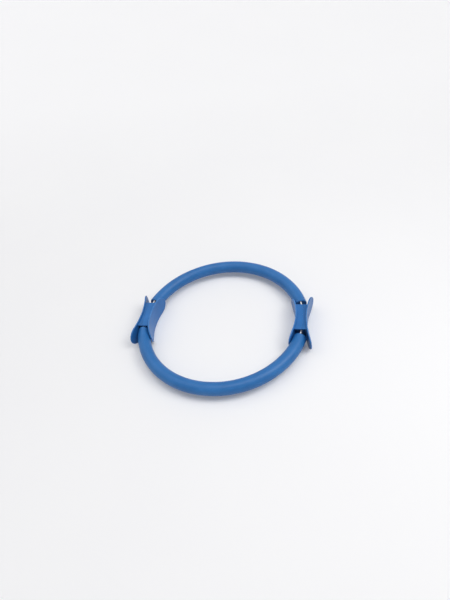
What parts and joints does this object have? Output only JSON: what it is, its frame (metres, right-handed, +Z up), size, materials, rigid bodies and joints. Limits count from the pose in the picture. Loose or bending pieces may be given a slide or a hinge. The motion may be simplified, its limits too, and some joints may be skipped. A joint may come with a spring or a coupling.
{
  "type": "pilates ring",
  "caption": "Springy hoop of flat glass-fibre strip in smooth foam sleeves, with opposite saddle-shaped hand pads on its inside and outside, squeezed between hands or legs for resistance.",
  "frame": {"origin": "on the floor under the ring's centre, with the ring lying flat on the lower rims of its four pads", "axes": "+X from the ring's centre to the right handle, +Y to the rear half of the hoop, +Z up along the hoop's axis"},
  "size_m": [0.3842, 0.373, 0.044],
  "materials": {
    "sleeve_foam": "matte",
    "handle_plastic": "satin",
    "glass_fibre_strip": "satin",
    "screw_steel": "satin"
  },
  "bodies": {
    "left_handle": {"left_inner_grip": "handle_plastic", "left_outer_grip": "handle_plastic", "left_front_screw": "screw_steel", "left_rear_screw": "screw_steel"},
    "right_handle": {"right_inner_grip": "handle_plastic", "right_outer_grip": "handle_plastic", "right_front_screw": "screw_steel", "right_rear_screw": "screw_steel"},
    "front_cover": {"front_foam_sleeve": "sleeve_foam"},
    "rear_cover": {"rear_foam_sleeve": "sleeve_foam"},
    "front_spring": {"front_spring_band": "glass_fibre_strip"},
    "rear_spring": {"rear_spring_band": "glass_fibre_strip"}
  },
  "joints": [
    {"name": "squeeze", "type": "slide", "parent": "left_handle", "child": "right_handle", "axis": [-1, 0, 0], "range_m": [-0.03, 0.1], "stiffness_N_per_m": 800},
    {"name": "front_cover_bow", "type": "slide", "parent": "left_handle", "child": "front_cover", "axis": [-0.7367, -0.6763, 0], "range_m": [-0.021, 0.0685], "deforming": ["front_foam_sleeve"]},
    {"name": "rear_cover_bow", "type": "slide", "parent": "left_handle", "child": "rear_cover", "axis": [-0.7367, 0.6763, 0], "range_m": [-0.021, 0.0685], "deforming": ["rear_foam_sleeve"]},
    {"name": "front_spring_bow", "type": "slide", "parent": "right_handle", "child": "front_spring", "axis": [0.7367, -0.6763, 0], "range_m": [-0.021, 0.0685], "deforming": ["front_spring_band"]},
    {"name": "rear_spring_bow", "type": "slide", "parent": "right_handle", "child": "rear_spring", "axis": [0.7367, 0.6763, 0], "range_m": [-0.021, 0.0685], "deforming": ["rear_spring_band"]}
  ],
  "couplings": [
    {"joint": "front_cover_bow", "follows": "squeeze", "ratio": 0.67873},
    {"joint": "rear_cover_bow", "follows": "squeeze", "ratio": 0.67873},
    {"joint": "front_spring_bow", "follows": "squeeze", "ratio": 0.67873},
    {"joint": "rear_spring_bow", "follows": "squeeze", "ratio": 0.67873}
  ]
}
